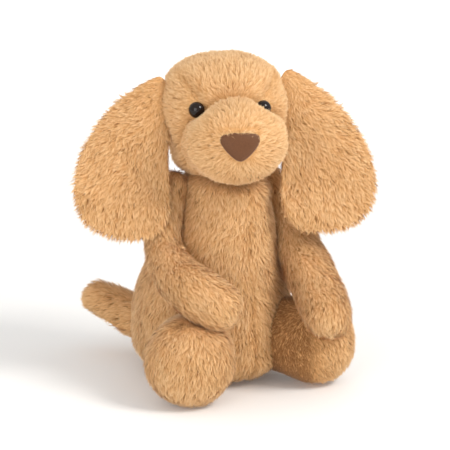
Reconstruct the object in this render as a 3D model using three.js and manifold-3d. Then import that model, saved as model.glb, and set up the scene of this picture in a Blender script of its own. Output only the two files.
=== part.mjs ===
// A seated plush dog with long hanging ears, built as sewn covers over their stuffing.
// Millimetres, +Z up. The torso faces -Y, its seat rests on z = 0 below the origin, and
// right and left are the dog's own: its right side is -X.
import * as THREE from 'three';
import { mergeVertices } from 'three/addons/utils/BufferGeometryUtils.js';
import Module from 'manifold-3d';

const wasm = await Module();
wasm.setup();

// Driving dimensions.
const COVER = 4; // thickness of the pile fabric
const GAP = 0.4; // clearance between neighbouring pieces
const STUFFING_GAP = 1; // clearance between a cover and its stuffing
const JOINT_GAP = 0.8; // clearance round a limb's root
const PAW_GAP = 1.4; // clearance between a paw and the leg that it lies on
const NECK = new THREE.Vector3(4, -9, 142); // middle of the seam between torso and head
const HEAD_TURN = THREE.MathUtils.degToRad(-23); // the head looks towards the dog's right
const NECK_HOLE_RADIUS = 13;
const ROOT_HOLE_SHARE = 0.55; // of a limb's radius at its root
const ROOT_HOLE_PLACE = 1.2; // behind the root's middle, in radii
const EYE_RADIUS = 5.2;
const EYE_HEIGHT = 4.2;
const EYE_RIM_STEP = 0.01; // keeps neighbouring rings of the dome apart
const EYE_STEM_RADIUS = 1.9;
const EYE_STEM_LENGTH = 13;
const WASHER_RADIUS = 6.5;
const WASHER_THICKNESS = 1.5;
const WASHER_PLACE = -COVER - 2.6; // along the stem, behind the dome
const NOSE_THICKNESS = 2;
const EAR_PANEL_THICKNESS = 4.6;
const HALF_SPACE = 600; // size of the blocks that trim the forms
const MERGE = 1e-4; // vertices closer than this are one
const ROUND_SIDES = 12; // sides of the turned pieces
// The angles at which each joint's room is cut, in degrees from rest.
const ARM_OPENINGS = [0, 4, 8, 12, 16, 21];
const LEG_SPLAYS = [0, 9, 18];
const TAIL_WAGS = [-18, 0, 18];
const EAR_LIFTS = [0, 14, 28, 42, 55];
const ARM_RISE = THREE.MathUtils.degToRad(8); // the lean of the line that an arm opens about

// Each station of a soft form is [x, y, z, half width, half depth].
const TORSO = [
  [0.5, 6, 22, 55.5, 62.5],
  [0.5, 6, 44, 55.5, 60.5],
  [1, 2.5, 70, 50.5, 54],
  [2, -4, 100, 40.5, 44],
  [4, -9, 130, 32, 34],
];
const SEAT_BAG = [
  [0, 14, 12.5, 30, 18],
  [0, 14, 17, 30, 18],
];
const SEAT_BAG_ROOM = SEAT_BAG.map(([x, y, z, wide, deep]) => [x, y, z, wide + 1, deep + 1]);
// The head's stations are in its own frame, with its origin at the neck and its face to -y.
const SKULL = [
  [-1.5, 5, 20, 37.5, 38],
  [-1.5, 5.5, 38, 44, 44],
  [-1.5, 6, 54, 45, 43.5],
  [-1.5, 6, 66, 41, 40],
];
const MUZZLE = [
  [1.5, -6, 32, 31, 27],
  [1.5, -24, 32, 35.5, 29.5],
  [1, -44, 32.5, 34, 27.5],
];
const MUZZLE_BACK = -12; // the muzzle cover stops here, on the line of its seam
const EYE_PLACE = new THREE.Vector3(22.9, -32.5, 53.9);
const EYE_SHIFT = -2.1; // both eyes sit a little to the dog's right of the middle
const EYE_AIM = new THREE.Vector3(14, -40, 6); // from an eye to a point that it faces
const NOSE_HEIGHT = 34.5;
const NOSE_FRONT = -85; // the block that cuts the nose patch runs from here
const NOSE_BACK = -45;
// The nose outline, about its own middle, seen from the front.
const NOSE_OUTLINE = [
  [0, -10],
  [7.4, -5.2],
  [13, 2.6],
  [11.6, 7.2],
  [4.6, 8.8],
  [0, 8.6],
];
// The ear outline hangs from its root at the origin: x outwards, y up.
const EAR_OUTLINE = [
  [0, 10],
  [11, 8],
  [25, -1],
  [39, -13],
  [51.5, -29],
  [61, -48],
  [64.5, -69],
  [60, -86],
  [48, -97],
  [28, -102],
  [10, -99],
  [1, -86],
  [-1, -64],
  [-1.5, -38],
  [-6, -8],
];
const EAR_MIDDLE = [26, -56];
const EAR_ROOT = { right: new THREE.Vector3(43, 3.5, 61), left: new THREE.Vector3(41, 5, 64) };
const EAR_SLANT = THREE.MathUtils.degToRad(23); // the ears lean forward as they fall
const EAR_SWING = { right: 0, left: THREE.MathUtils.degToRad(-5) }; // outwards is positive
const EAR_CUP = 0.0022; // how strongly an ear curves across its width
const EAR_SIDES = 18;
const EAR_ROWS = 6;
const EAR_RIM_GROWTH = 3; // the rim of an ear's room grows this much more than its faces
const ARM_RIGHT = [
  [-32, 3, 132.5, 14, 14],
  [-42, -4, 116, 14, 14],
  [-50, -16, 99, 14.5, 14.5],
  [-53, -36, 87, 16.5, 16.5],
  [-49, -55, 78, 18.5, 18.5],
  [-39, -67, 70, 18.5, 18.5],
];
const ARM_LEFT = [
  [39, -1.5, 132.5, 14, 14],
  [45.5, -14, 116, 15, 15],
  [47, -29.5, 98, 17, 17],
  [44.5, -51, 81, 18.5, 18.5],
  [41, -71, 68, 18.5, 18.5],
  [37.5, -87, 57.5, 18, 18],
];
const LEG_RIGHT = [
  [-28, -22, 30, 25, 25],
  [-41, -40, 31, 28.5, 28.5],
  [-54.5, -58, 31, 32, 31.5],
];
const LEG_LEFT = [
  [28, -22, 30, 25, 25],
  [37, -42, 30, 28, 28],
  [46, -59, 30, 31, 30.5],
];
const TAIL = [
  [-9, 52, 24, 16.5, 16.5],
  [-22, 70, 26, 16.5, 16.5],
  [-33, 83, 32.5, 15.5, 15.5],
  [-43, 94, 39.5, 13, 13],
];

const PILE = new THREE.Color(0.74, 0.52, 0.31);
const FIBRE = new THREE.Color(0.92, 0.91, 0.88);
const NOSE_BROWN = new THREE.Color(0.16, 0.08, 0.045);
const EYE_BLACK = new THREE.Color(0.01, 0.008, 0.007);
const CLOTH_ROUGHNESS = 0.95;
const NOSE_ROUGHNESS = 0.6;
const WASHER_ROUGHNESS = 0.5;
const EYE_ROUGHNESS = 0.08;
const SIGNS = { right: -1, left: 1 };

/** A closed geometry as a solid for cutting and joining. */
function solidOf(geometry) {
  const bare = geometry.clone();
  bare.deleteAttribute('normal');
  bare.deleteAttribute('uv');
  const merged = mergeVertices(bare, MERGE);
  const vertProperties = new Float32Array(merged.attributes.position.array);
  const triVerts = new Uint32Array(merged.index.array);
  return new wasm.Manifold(new wasm.Mesh({ numProp: 3, vertProperties, triVerts }));
}

/** A solid's surface as a geometry. */
function geometryOf(solid) {
  const surface = solid.getMesh();
  const geometry = new THREE.BufferGeometry();
  geometry.setAttribute('position', new THREE.BufferAttribute(surface.vertProperties, 3));
  geometry.setIndex(new THREE.BufferAttribute(surface.triVerts, 1));
  geometry.computeVertexNormals();
  return geometry;
}

/** A named mesh with a cloth-like or plastic finish. */
function meshOf(name, solid, color, roughness = CLOTH_ROUGHNESS) {
  const material = new THREE.MeshStandardMaterial({ color, roughness, metalness: 0 });
  const mesh = new THREE.Mesh(geometryOf(solid), material);
  mesh.name = name;
  return mesh;
}

/**
 * A closed soft form: the rows of a sphere laid along a spine through the stations. Each end is
 * rounded, and stands out from its last station by the given bulge.
 */
function softForm(stations, { sides = 16, steps = 5, capRows = 3, bulges, across }) {
  const spine = new THREE.CatmullRomCurve3(stations.map(([x, y, z]) => new THREE.Vector3(x, y, z)));
  const girth = new THREE.SplineCurve(stations.map(([, , , w, d]) => new THREE.Vector2(w, d)));
  const rows = steps + 2 * capRows;
  const geometry = new THREE.SphereGeometry(1, sides, rows);
  const position = geometry.attributes.position;
  const point = new THREE.Vector3();
  for (let row = 0; row <= rows; row += 1) {
    const along = THREE.MathUtils.clamp((row - capRows) / steps, 0, 1);
    const endAngle = (Math.max(capRows - row, row - capRows - steps, 0) / capRows) * (Math.PI / 2);
    const tangent = spine.getTangent(along);
    const depthways = new THREE.Vector3().crossVectors(tangent, across).normalize();
    const widthways = new THREE.Vector3().crossVectors(depthways, tangent);
    const size = girth.getPoint(along).multiplyScalar(Math.cos(endAngle));
    const standOut = Math.sin(endAngle) * (along > 0 ? bulges[1] : -bulges[0]);
    const middle = spine.getPoint(along).addScaledVector(tangent, standOut);
    for (let side = 0; side <= sides; side += 1) {
      const turn = ((side % sides) / sides) * Math.PI * 2;
      point.copy(middle);
      point.addScaledVector(widthways, size.x * Math.cos(turn));
      point.addScaledVector(depthways, size.y * Math.sin(turn));
      const index = row * (sides + 1) + side;
      position.setXYZ(index, point.x, point.y, point.z);
    }
  }
  return outwards(geometry);
}

/** The geometry with its faces turned round where they point inwards. */
function outwards(geometry) {
  if (solidOf(geometry).volume() >= 0) {
    return geometry;
  }
  const index = geometry.index.array;
  for (let i = 0; i < index.length; i += 3) {
    [index[i + 1], index[i + 2]] = [index[i + 2], index[i + 1]];
  }
  return geometry;
}

/** The geometry with its surface moved outwards by a distance, or inwards if that is negative. */
function offset(geometry, distance) {
  const bare = geometry.clone();
  bare.deleteAttribute('normal');
  bare.deleteAttribute('uv');
  const moved = mergeVertices(bare, MERGE);
  moved.computeVertexNormals();
  const position = moved.attributes.position;
  const normal = moved.attributes.normal;
  for (let i = 0; i < position.count; i += 1) {
    position.setXYZ(
      i,
      position.getX(i) + normal.getX(i) * distance,
      position.getY(i) + normal.getY(i) * distance,
      position.getZ(i) + normal.getZ(i) * distance,
    );
  }
  return moved;
}

/** A block that fills everything below a height, or above it. */
function halfSpace(height, above = false) {
  const block = new THREE.BoxGeometry(HALF_SPACE, HALF_SPACE, HALF_SPACE);
  block.translate(0, 0, height + (above ? HALF_SPACE / 2 : -HALF_SPACE / 2));
  return solidOf(block);
}

/** The room that a form sweeps as it turns about a pivot. */
function sweptRoom(geometry, pivot, axis, degrees) {
  const positions = degrees.map((angle) => {
    const turned = geometry.clone().translate(-pivot.x, -pivot.y, -pivot.z);
    const turn = new THREE.Quaternion().setFromAxisAngle(axis, THREE.MathUtils.degToRad(angle));
    return solidOf(turned.applyQuaternion(turn).translate(pivot.x, pivot.y, pivot.z));
  });
  return wasm.Manifold.union(positions);
}

/** A ball about a limb's root, with room for the root to turn in it. */
function socket([x, y, z, radius], gap, sides, rows) {
  const roundness = Math.cos(Math.PI / sides);
  const ball = new THREE.SphereGeometry((radius + gap) / roundness, sides, rows);
  return solidOf(ball.translate(x, y, z));
}

/** What the limbs take out of the torso: their sockets, and all that they sweep. */
function limbRooms(outline, gap, sides, rows) {
  const roots = [ARM_RIGHT, ARM_LEFT, LEG_RIGHT, LEG_LEFT, TAIL].map((stations) => stations[0]);
  const sweeps = [
    [arms.right[outline], ARM_RIGHT, SIGNS.right, [0]],
    [arms.left[outline], ARM_LEFT, SIGNS.left, [0]],
    [legs.right[outline], LEG_RIGHT, SIGNS.right, LEG_SPLAYS],
    [legs.left[outline], LEG_LEFT, SIGNS.left, LEG_SPLAYS],
    [tail[outline], TAIL, 1, TAIL_WAGS],
  ];
  const rooms = sweeps.map(([form, stations, sign, degrees]) => {
    const axis = new THREE.Vector3(0, 0, sign);
    return sweptRoom(offset(form, gap), new THREE.Vector3(...stations[0]), axis, degrees);
  });
  return wasm.Manifold.union([...roots.map((root) => socket(root, gap, sides, rows)), ...rooms]);
}

/** The surfaces of a sewn piece: its outside, a coarse outside, its cover's inside and its stuffing. */
function sewnForms(stations, detail, coarse) {
  const rough = softForm(stations, { ...detail, ...coarse });
  return {
    outside: softForm(stations, detail),
    rough,
    inside: offset(rough, -COVER),
    stuffing: offset(rough, -COVER - STUFFING_GAP),
  };
}

/** A short round opening behind a limb's root, where its cover is sewn on. */
function rootOpening(stations) {
  const root = new THREE.Vector3(...stations[0]);
  const next = new THREE.Vector3(...stations[1]);
  const back = root.clone().sub(next).normalize();
  const radius = stations[0][3];
  const wide = radius * ROOT_HOLE_SHARE;
  const hole = new THREE.CylinderGeometry(wide, wide, radius * 2, ROUND_SIDES);
  hole.applyQuaternion(new THREE.Quaternion().setFromUnitVectors(new THREE.Vector3(0, 1, 0), back));
  const middle = root.addScaledVector(back, radius * ROOT_HOLE_PLACE);
  return solidOf(hole.translate(middle.x, middle.y, middle.z));
}

const ACROSS_X = new THREE.Vector3(1, 0, 0);
const ACROSS_Z = new THREE.Vector3(0, 0, 1);
const COARSE = { sides: 10, steps: 4, capRows: 2 };
const ARM_DETAIL = { sides: 12, steps: 6, capRows: 3, bulges: [14, 18], across: ACROSS_X };
const LEG_DETAIL = { sides: 16, steps: 3, capRows: 4, bulges: [25, 28], across: ACROSS_Z };
const TAIL_DETAIL = { sides: 12, steps: 4, capRows: 3, bulges: [16.5, 12.5], across: ACROSS_Z };
const TORSO_DETAIL = { sides: 24, steps: 7, capRows: 4, bulges: [27, 14], across: ACROSS_X };
const SKULL_DETAIL = { sides: 24, steps: 5, capRows: 5, bulges: [24, 22], across: ACROSS_X };
const MUZZLE_DETAIL = { sides: 20, steps: 3, capRows: 4, bulges: [20, 24], across: ACROSS_X };
const BAG_DETAIL = { sides: 16, steps: 1, capRows: 2, bulges: [7.5, 8], across: ACROSS_X };

const arms = {
  right: sewnForms(ARM_RIGHT, ARM_DETAIL, COARSE),
  left: sewnForms(ARM_LEFT, ARM_DETAIL, COARSE),
};
const legs = {
  right: sewnForms(LEG_RIGHT, LEG_DETAIL, { ...COARSE, steps: 2 }),
  left: sewnForms(LEG_LEFT, LEG_DETAIL, { ...COARSE, steps: 2 }),
};
const tail = sewnForms(TAIL, TAIL_DETAIL, { ...COARSE, steps: 3 });
const torso = sewnForms(TORSO, TORSO_DETAIL, { sides: 16, steps: 5, capRows: 3 });
const skull = sewnForms(SKULL, SKULL_DETAIL, { sides: 16, steps: 4, capRows: 3 });
const muzzle = sewnForms(MUZZLE, MUZZLE_DETAIL, { sides: 14, steps: 2, capRows: 3 });

/** Torso: cover, stuffing and the pellet bag in the seat. */
function makeTorso() {
  const neckHole = barGeometry(NECK_HOLE_RADIUS, -2 * COVER, 2 * COVER);
  neckHole.translate(NECK.x, NECK.y, NECK.z);
  const top = NECK.z - GAP / 2;
  const cover = solidOf(torso.outside)
    .subtract(halfSpace(0))
    .subtract(halfSpace(top, true))
    .subtract(solidOf(torso.inside).subtract(halfSpace(COVER)).subtract(halfSpace(top - COVER, true)))
    .subtract(solidOf(neckHole))
    .subtract(limbRooms('outside', JOINT_GAP, 14, 9));
  const stuffing = solidOf(torso.stuffing)
    .subtract(halfSpace(COVER + GAP))
    .subtract(halfSpace(top - COVER - GAP, true))
    .subtract(limbRooms('rough', COVER, 10, 6))
    .subtract(solidOf(softForm(SEAT_BAG_ROOM, BAG_DETAIL)));
  const bag = solidOf(softForm(SEAT_BAG, BAG_DETAIL)).subtract(halfSpace(COVER + GAP));
  return [
    meshOf('torso_cover', cover, PILE),
    meshOf('torso_stuffing', stuffing, FIBRE),
    meshOf('seat_pellet_bag', bag, FIBRE),
  ];
}

/** An arm, a leg or the tail: a cover open at its root, and its stuffing. */
function makeLimb(kind, suffix, forms, stations) {
  const cover = solidOf(forms.outside).subtract(solidOf(forms.inside)).subtract(rootOpening(stations));
  return [
    meshOf(kind + '_cover' + suffix, cover, PILE),
    meshOf(kind + '_stuffing' + suffix, solidOf(forms.stuffing), FIBRE),
  ];
}

/** The room over a leg that the arm lying on it needs, as either of them swings. */
function pawRoom(side, arm, armStations, legStations, gap) {
  const form = offset(arm.outside, gap);
  const armLine = new THREE.Vector3(-Math.sin(ARM_RISE), 0, SIGNS[side] * Math.cos(ARM_RISE));
  const legLine = new THREE.Vector3(0, 0, -SIGNS[side]);
  const byArm = sweptRoom(form, new THREE.Vector3(...armStations[0]), armLine, ARM_OPENINGS);
  const byLeg = sweptRoom(form, new THREE.Vector3(...legStations[0]), legLine, LEG_SPLAYS);
  return byArm.add(byLeg);
}

/** A leg: flat where it rests on the floor, and dented where the paw lies on it. */
function makeLeg(side, forms, stations, arm, armStations) {
  const dent = (gap) => pawRoom(side, arm, armStations, stations, gap);
  const hollow = solidOf(forms.inside)
    .subtract(halfSpace(COVER))
    .subtract(dent(PAW_GAP + COVER));
  const cover = solidOf(forms.outside)
    .subtract(halfSpace(0))
    .subtract(dent(PAW_GAP))
    .subtract(hollow)
    .subtract(rootOpening(stations));
  const stuffing = solidOf(forms.stuffing)
    .subtract(halfSpace(COVER + GAP))
    .subtract(dent(PAW_GAP + COVER + GAP));
  return [
    meshOf('leg_cover_' + side, cover, PILE),
    meshOf('leg_stuffing_' + side, stuffing, FIBRE),
  ];
}

/** An eye's quarter profile turned about z: a dome in front, a stem behind, facing +z. */
function eyeGeometry() {
  const profile = [new THREE.Vector2(0, -EYE_STEM_LENGTH)];
  profile.push(new THREE.Vector2(EYE_STEM_RADIUS, -EYE_STEM_LENGTH));
  profile.push(new THREE.Vector2(EYE_STEM_RADIUS, 0));
  for (let step = 0; step <= 4; step += 1) {
    const angle = (step / 4) * (Math.PI / 2);
    const height = EYE_HEIGHT * Math.sin(angle) + EYE_RIM_STEP * step;
    profile.push(new THREE.Vector2(EYE_RADIUS * Math.cos(angle), height));
  }
  profile[profile.length - 1].x = 0;
  return new THREE.LatheGeometry(profile, ROUND_SIDES).rotateX(Math.PI / 2);
}

/** A flat ring about z, from one height to another. */
function ringGeometry(inner, outer, low, high) {
  const profile = [
    new THREE.Vector2(inner, low),
    new THREE.Vector2(outer, low),
    new THREE.Vector2(outer, high),
    new THREE.Vector2(inner, high),
    new THREE.Vector2(inner, low),
  ];
  return new THREE.LatheGeometry(profile, ROUND_SIDES).rotateX(Math.PI / 2);
}

/** A round bar about z, from one height to another. */
function barGeometry(radius, low, high) {
  const bar = new THREE.CylinderGeometry(radius, radius, high - low, 14);
  return bar.rotateX(Math.PI / 2).translate(0, 0, (low + high) / 2);
}

/** Where an eye sits in the head, looking along its own +z. */
function eyeMatrix(sign) {
  const eye = new THREE.Object3D();
  const aim = EYE_PLACE.clone().add(EYE_AIM);
  eye.position.set(sign * EYE_PLACE.x + EYE_SHIFT, EYE_PLACE.y, EYE_PLACE.z);
  eye.lookAt(sign * aim.x + EYE_SHIFT, aim.y, aim.z);
  eye.updateMatrix();
  return eye.matrix;
}

/** One panel of an ear: domed on its pile side and flat where it lies on the other panel. */
function earPanelGeometry(facing, grow = 0) {
  const outline = new THREE.CatmullRomCurve3(
    EAR_OUTLINE.map(([x, y]) => new THREE.Vector3(x, y, 0)),
    true,
  );
  const geometry = new THREE.SphereGeometry(1, EAR_SIDES, EAR_ROWS);
  const position = geometry.attributes.position;
  const [middleX, middleY] = EAR_MIDDLE;
  for (let row = 0; row <= EAR_ROWS; row += 1) {
    const angle = (row / EAR_ROWS) * Math.PI;
    const reach = Math.sin(angle);
    const domed = row < EAR_ROWS / 2;
    for (let side = 0; side <= EAR_SIDES; side += 1) {
      const rim = outline.getPointAt((side % EAR_SIDES) / EAR_SIDES);
      const length = Math.hypot(rim.x - middleX, rim.y - middleY);
      const stretch = (reach * (length + EAR_RIM_GROWTH * grow)) / length;
      const x = middleX + (rim.x - middleX) * stretch;
      const z = middleY + (rim.y - middleY) * stretch;
      const thick = domed ? EAR_PANEL_THICKNESS * Math.sqrt(1 - reach ** 4) + grow : GAP / 2 - grow;
      const y = facing * thick - EAR_CUP * (x - middleX) ** 2;
      position.setXYZ(row * (EAR_SIDES + 1) + side, x, y, z);
    }
  }
  return outwards(geometry);
}

/** Moves an ear panel from its own frame to its place at one side of the head. */
function placeEar(geometry, side) {
  const placed = geometry.clone();
  placed.rotateY(-EAR_SWING[side]);
  placed.rotateX(-EAR_SLANT);
  placed.translate(EAR_ROOT[side].x, EAR_ROOT[side].y, EAR_ROOT[side].z);
  if (side === 'right') {
    placed.scale(-1, 1, 1);
  }
  return outwards(placed);
}

/** The space that an ear's root needs in the head's side as the ear lifts. */
function earRoom(side) {
  const pivot = EAR_ROOT[side].clone();
  pivot.x *= SIGNS[side];
  const axis = new THREE.Vector3(0, Math.cos(EAR_SLANT), -Math.sin(EAR_SLANT)).multiplyScalar(-SIGNS[side]);
  const panels = [-1, 1].map((facing) => {
    const panel = placeEar(earPanelGeometry(facing, JOINT_GAP), side);
    return sweptRoom(panel, pivot, axis, EAR_LIFTS);
  });
  return panels[0].add(panels[1]);
}

/** The nose patch: a rounded triangle of the muzzle's own curve, standing out from it. */
function noseSolid() {
  const right = NOSE_OUTLINE.map(([x, y]) => new THREE.Vector3(x, y, 0));
  const left = NOSE_OUTLINE.slice(1, -1).reverse().map(([x, y]) => new THREE.Vector3(-x, y, 0));
  const rim = new THREE.CatmullRomCurve3([...right, ...left], true);
  const outline = rim.getPoints(18).slice(0, -1).map((point) => new THREE.Vector2(point.x, point.y));
  const depth = NOSE_BACK - NOSE_FRONT;
  const prism = new THREE.ExtrudeGeometry(new THREE.Shape(outline), { depth, bevelEnabled: false });
  prism.rotateX(Math.PI / 2).translate(0, NOSE_BACK, NOSE_HEIGHT);
  return solidOf(offset(muzzle.outside, GAP + NOSE_THICKNESS))
    .subtract(solidOf(offset(muzzle.outside, GAP)))
    .intersect(solidOf(prism));
}

/** An eye with its lock washer, and the space that both take in the head. */
function makeEye(side) {
  const matrix = eyeMatrix(SIGNS[side]);
  const eye = meshOf('eye_' + side, solidOf(eyeGeometry()), EYE_BLACK, EYE_ROUGHNESS);
  const high = WASHER_PLACE;
  const low = WASHER_PLACE - WASHER_THICKNESS;
  const ring = solidOf(ringGeometry(EYE_STEM_RADIUS + GAP, WASHER_RADIUS, low, high));
  const washer = meshOf('eye_washer_' + side, ring, FIBRE, WASHER_ROUGHNESS);
  const pieces = new THREE.Group();
  pieces.add(eye, washer);
  pieces.applyMatrix4(matrix);
  const seat = barGeometry(EYE_RADIUS + GAP, -GAP, 2 * EYE_HEIGHT);
  const bore = barGeometry(EYE_STEM_RADIUS + GAP, -EYE_STEM_LENGTH - GAP, 1);
  const washerRoom = barGeometry(WASHER_RADIUS + GAP, low - GAP, high + GAP);
  const shapes = [seat, bore, washerRoom].map((shape) => solidOf(shape.applyMatrix4(matrix)));
  return { pieces, room: wasm.Manifold.union(shapes) };
}

/** Head: covers, stuffing, nose, eyes with their washers, and both ears' panels. */
function makeHead() {
  const sides = Object.keys(SIGNS);
  const eyes = sides.map(makeEye);
  const room = wasm.Manifold.union([...eyes.map((eye) => eye.room), ...sides.map(earRoom)]);
  const floor = halfSpace(GAP / 2);
  const insideFloor = halfSpace(COVER);
  const headCover = solidOf(skull.outside)
    .subtract(floor)
    .subtract(solidOf(skull.inside).subtract(insideFloor))
    .subtract(solidOf(offset(muzzle.outside, GAP)))
    .subtract(solidOf(barGeometry(NECK_HOLE_RADIUS, -2 * COVER, 2 * COVER)))
    .subtract(room);
  const behindSeam = new THREE.BoxGeometry(HALF_SPACE, HALF_SPACE, HALF_SPACE);
  behindSeam.translate(0, MUZZLE_BACK + HALF_SPACE / 2, 0);
  const muzzleCover = solidOf(muzzle.outside)
    .subtract(floor)
    .subtract(solidOf(muzzle.inside).subtract(insideFloor))
    .subtract(solidOf(behindSeam))
    .subtract(solidOf(skull.stuffing))
    .subtract(room);
  const stuffing = solidOf(skull.stuffing)
    .add(solidOf(muzzle.stuffing))
    .subtract(halfSpace(COVER + GAP))
    .subtract(room);

  const head = new THREE.Group();
  head.add(meshOf('head_cover', headCover, PILE));
  head.add(meshOf('muzzle_cover', muzzleCover, PILE));
  head.add(meshOf('head_stuffing', stuffing, FIBRE));
  head.add(meshOf('nose_patch', noseSolid(), NOSE_BROWN, NOSE_ROUGHNESS));
  head.add(...eyes.map((eye) => eye.pieces));
  for (const side of sides) {
    head.add(meshOf('ear_front_' + side, solidOf(placeEar(earPanelGeometry(-1), side)), PILE));
    head.add(meshOf('ear_back_' + side, solidOf(placeEar(earPanelGeometry(1), side)), PILE));
  }
  head.position.copy(NECK);
  head.rotation.z = HEAD_TURN;
  return head;
}

const dog = new THREE.Group();
dog.add(...makeTorso());
dog.add(makeHead());
dog.add(...makeLimb('arm', '_right', arms.right, ARM_RIGHT));
dog.add(...makeLimb('arm', '_left', arms.left, ARM_LEFT));
dog.add(...makeLeg('right', legs.right, LEG_RIGHT, arms.right, ARM_RIGHT));
dog.add(...makeLeg('left', legs.left, LEG_LEFT, arms.left, ARM_LEFT));
dog.add(...makeLimb('tail', '', tail, TAIL));

export default dog;
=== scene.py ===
"""A seated plush dog: stuffed skins of backing cloth with tufted pile growing from them.

Shapes are worked out in millimetres in the row frame, and the meshes are made in metres.
"""

import math

import bpy
import numpy as np
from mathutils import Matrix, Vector
from mathutils.bvhtree import BVHTree
from mathutils.kdtree import KDTree


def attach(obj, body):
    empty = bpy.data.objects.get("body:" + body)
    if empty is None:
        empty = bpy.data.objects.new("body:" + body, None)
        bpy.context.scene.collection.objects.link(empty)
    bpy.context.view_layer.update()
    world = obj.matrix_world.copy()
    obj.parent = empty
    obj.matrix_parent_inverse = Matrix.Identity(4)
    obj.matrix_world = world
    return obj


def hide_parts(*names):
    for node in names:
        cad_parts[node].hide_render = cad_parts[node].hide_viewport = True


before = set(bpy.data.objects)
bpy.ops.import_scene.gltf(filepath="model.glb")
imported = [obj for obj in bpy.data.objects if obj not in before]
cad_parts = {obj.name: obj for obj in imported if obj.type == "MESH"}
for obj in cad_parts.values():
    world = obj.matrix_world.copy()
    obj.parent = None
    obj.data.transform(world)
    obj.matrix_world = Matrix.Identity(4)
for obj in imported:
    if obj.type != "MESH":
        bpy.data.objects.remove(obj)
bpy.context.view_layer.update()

MM = 0.001
NECK = np.array([4.0, -9.0, 142.0])
HEAD_TURN = math.radians(-23)
PILE_DEPTH = 2.3  # how far the backing cloth lies inside the outer surface of the pile
MUZZLE_DEPTH = PILE_DEPTH - 0.6  # on the muzzle, whose pile is shorter
FAR = 80.0  # distances between skins are measured up to here
SIGNS = {"right": -1, "left": 1}

# Stations of each stuffed form: x, y, z, half width, half depth.
TORSO = [
    (0.5, 6, 22, 55.5, 62.5),
    (0.5, 6, 44, 55.5, 60.5),
    (1, 2.5, 70, 50.5, 54),
    (2, -4, 100, 40.5, 44),
    (4, -9, 138, 31, 33),
]
SKULL = [
    (-1.5, 5, 20, 37.5, 38),
    (-1.5, 5.5, 38, 44, 44),
    (-1.5, 6, 54, 45, 43.5),
    (-1.5, 6, 66, 41, 40),
]
MUZZLE = [
    (1.5, -6, 32, 31, 27),
    (1.5, -24, 32, 35.5, 29.5),
    (1, -44, 32.5, 34, 27.5),
]
ARMS = {
    "right": [
        (-32, 3, 132.5, 14, 14),
        (-42, -4, 116, 14, 14),
        (-50, -16, 99, 14.5, 14.5),
        (-53, -36, 87, 16.5, 16.5),
        (-49, -55, 78, 18.5, 18.5),
        (-39, -67, 70, 18.5, 18.5),
    ],
    "left": [
        (39, -1.5, 132.5, 14, 14),
        (45.5, -14, 116, 15, 15),
        (47, -29.5, 98, 17, 17),
        (44.5, -51, 81, 18.5, 18.5),
        (41, -71, 68, 18.5, 18.5),
        (37.5, -87, 57.5, 18, 18),
    ],
}
LEGS = {
    "right": [(-28, -22, 30, 25, 25), (-41, -40, 31, 28.5, 28.5), (-54.5, -58, 31, 32, 31.5)],
    "left": [(28, -22, 30, 25, 25), (37, -42, 30, 28, 28), (46, -59, 30, 31, 30.5)],
}
TAIL = [
    (-9, 52, 24, 16.5, 16.5),
    (-22, 70, 26, 16.5, 16.5),
    (-33, 83, 32.5, 15.5, 15.5),
    (-43, 94, 39.5, 13, 13),
]
NOSE_OUTLINE = [(0, -10), (7.4, -5.2), (13, 2.6), (11.6, 7.2), (4.6, 8.8), (0, 8.6)]
NOSE_HEIGHT = 34.5
EYE_PLACE = {side: np.array([sign * 22.9 - 2.1, -32.5, 53.9]) for side, sign in SIGNS.items()}
EYE_RADIUS = 5.2
BROW_TUCK = [(23, 0, 61.5), (27, 0, 66), (31, 0, 72)]
EYE_HEIGHT = 4.2
EAR_OUTLINE = [
    (0, 10), (11, 8), (25, -1), (39, -13), (51.5, -29), (61, -48), (64.5, -69), (60, -86),
    (48, -97), (28, -102), (10, -99), (1, -86), (-1, -64), (-1.5, -38), (-6, -8),
]
EAR_MIDDLE = np.array([26.0, -56.0])
EAR_ROOT = {"right": np.array([43, 3.5, 61.0]), "left": np.array([41, 5, 64.0])}
EAR_SLANT = math.radians(23)
EAR_SWING = {"right": 0.0, "left": math.radians(-5)}
EAR_CUP = 0.0022
EAR_HALF_THICKNESS = 2.8
EAR_INSET = 1.0  # the rim of the backing cloth inside the outline of the pile
EAR_ROWS = 34
EAR_FOLD = [(16, 0, -46), (8, 0, -70)]  # the soft fold down the inner half of each ear
SEAM_HEIGHTS = np.linspace(8, 138, 30)
SEAM_X = np.interp(SEAM_HEIGHTS, np.array(TORSO)[:, 2], np.array(TORSO)[:, 0])
TUCK_LINE = [(-66, -62, 56), (-58, -64, 60), (-46, -72, 60), (-36, -78, 56)]  # the right paw against its leg
ARM_CREASES = [
    [(34, -46, 101), (38.5, -62.7, 93.7), (43, -74, 86)],
    [(50, -98, 59), (46.4, -100.7, 52.6), (39, -100, 46)],
]
CREASE_DEPTH = 2.0
TUCK_WIDTH = 5.0
ARM_CREASE_WIDTH = 2.4
SEAT_HEIGHT = 2.2  # of the torso's backing cloth over the floor
LEG_HEIGHT = 2.4
SHOULDER_RAISE = 3.5
THIGH_TOP = [30, -42, 60]  # where the left thigh is pushed up, between the belly and the arm
THIGH_PUSH = 4.0
BELLY_SIDE = [44, -26, 66]  # where the belly swells beside the left arm and thigh
BELLY_SPREAD = 2.6
PAW_GAP = 1.5  # between an arm's skin and the leg that it dents


# ---------------------------------------------------------------- small maths
def unit(v):
    return v / np.maximum(np.linalg.norm(v, axis=-1, keepdims=True), 1e-9)


def smooth(x):
    x = np.clip(x, 0, 1)
    return x * x * (3 - 2 * x)


def fade(distance, width):
    """1 at no distance, falling off smoothly with the width."""
    return np.exp(-((distance / width) ** 2))


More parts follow.
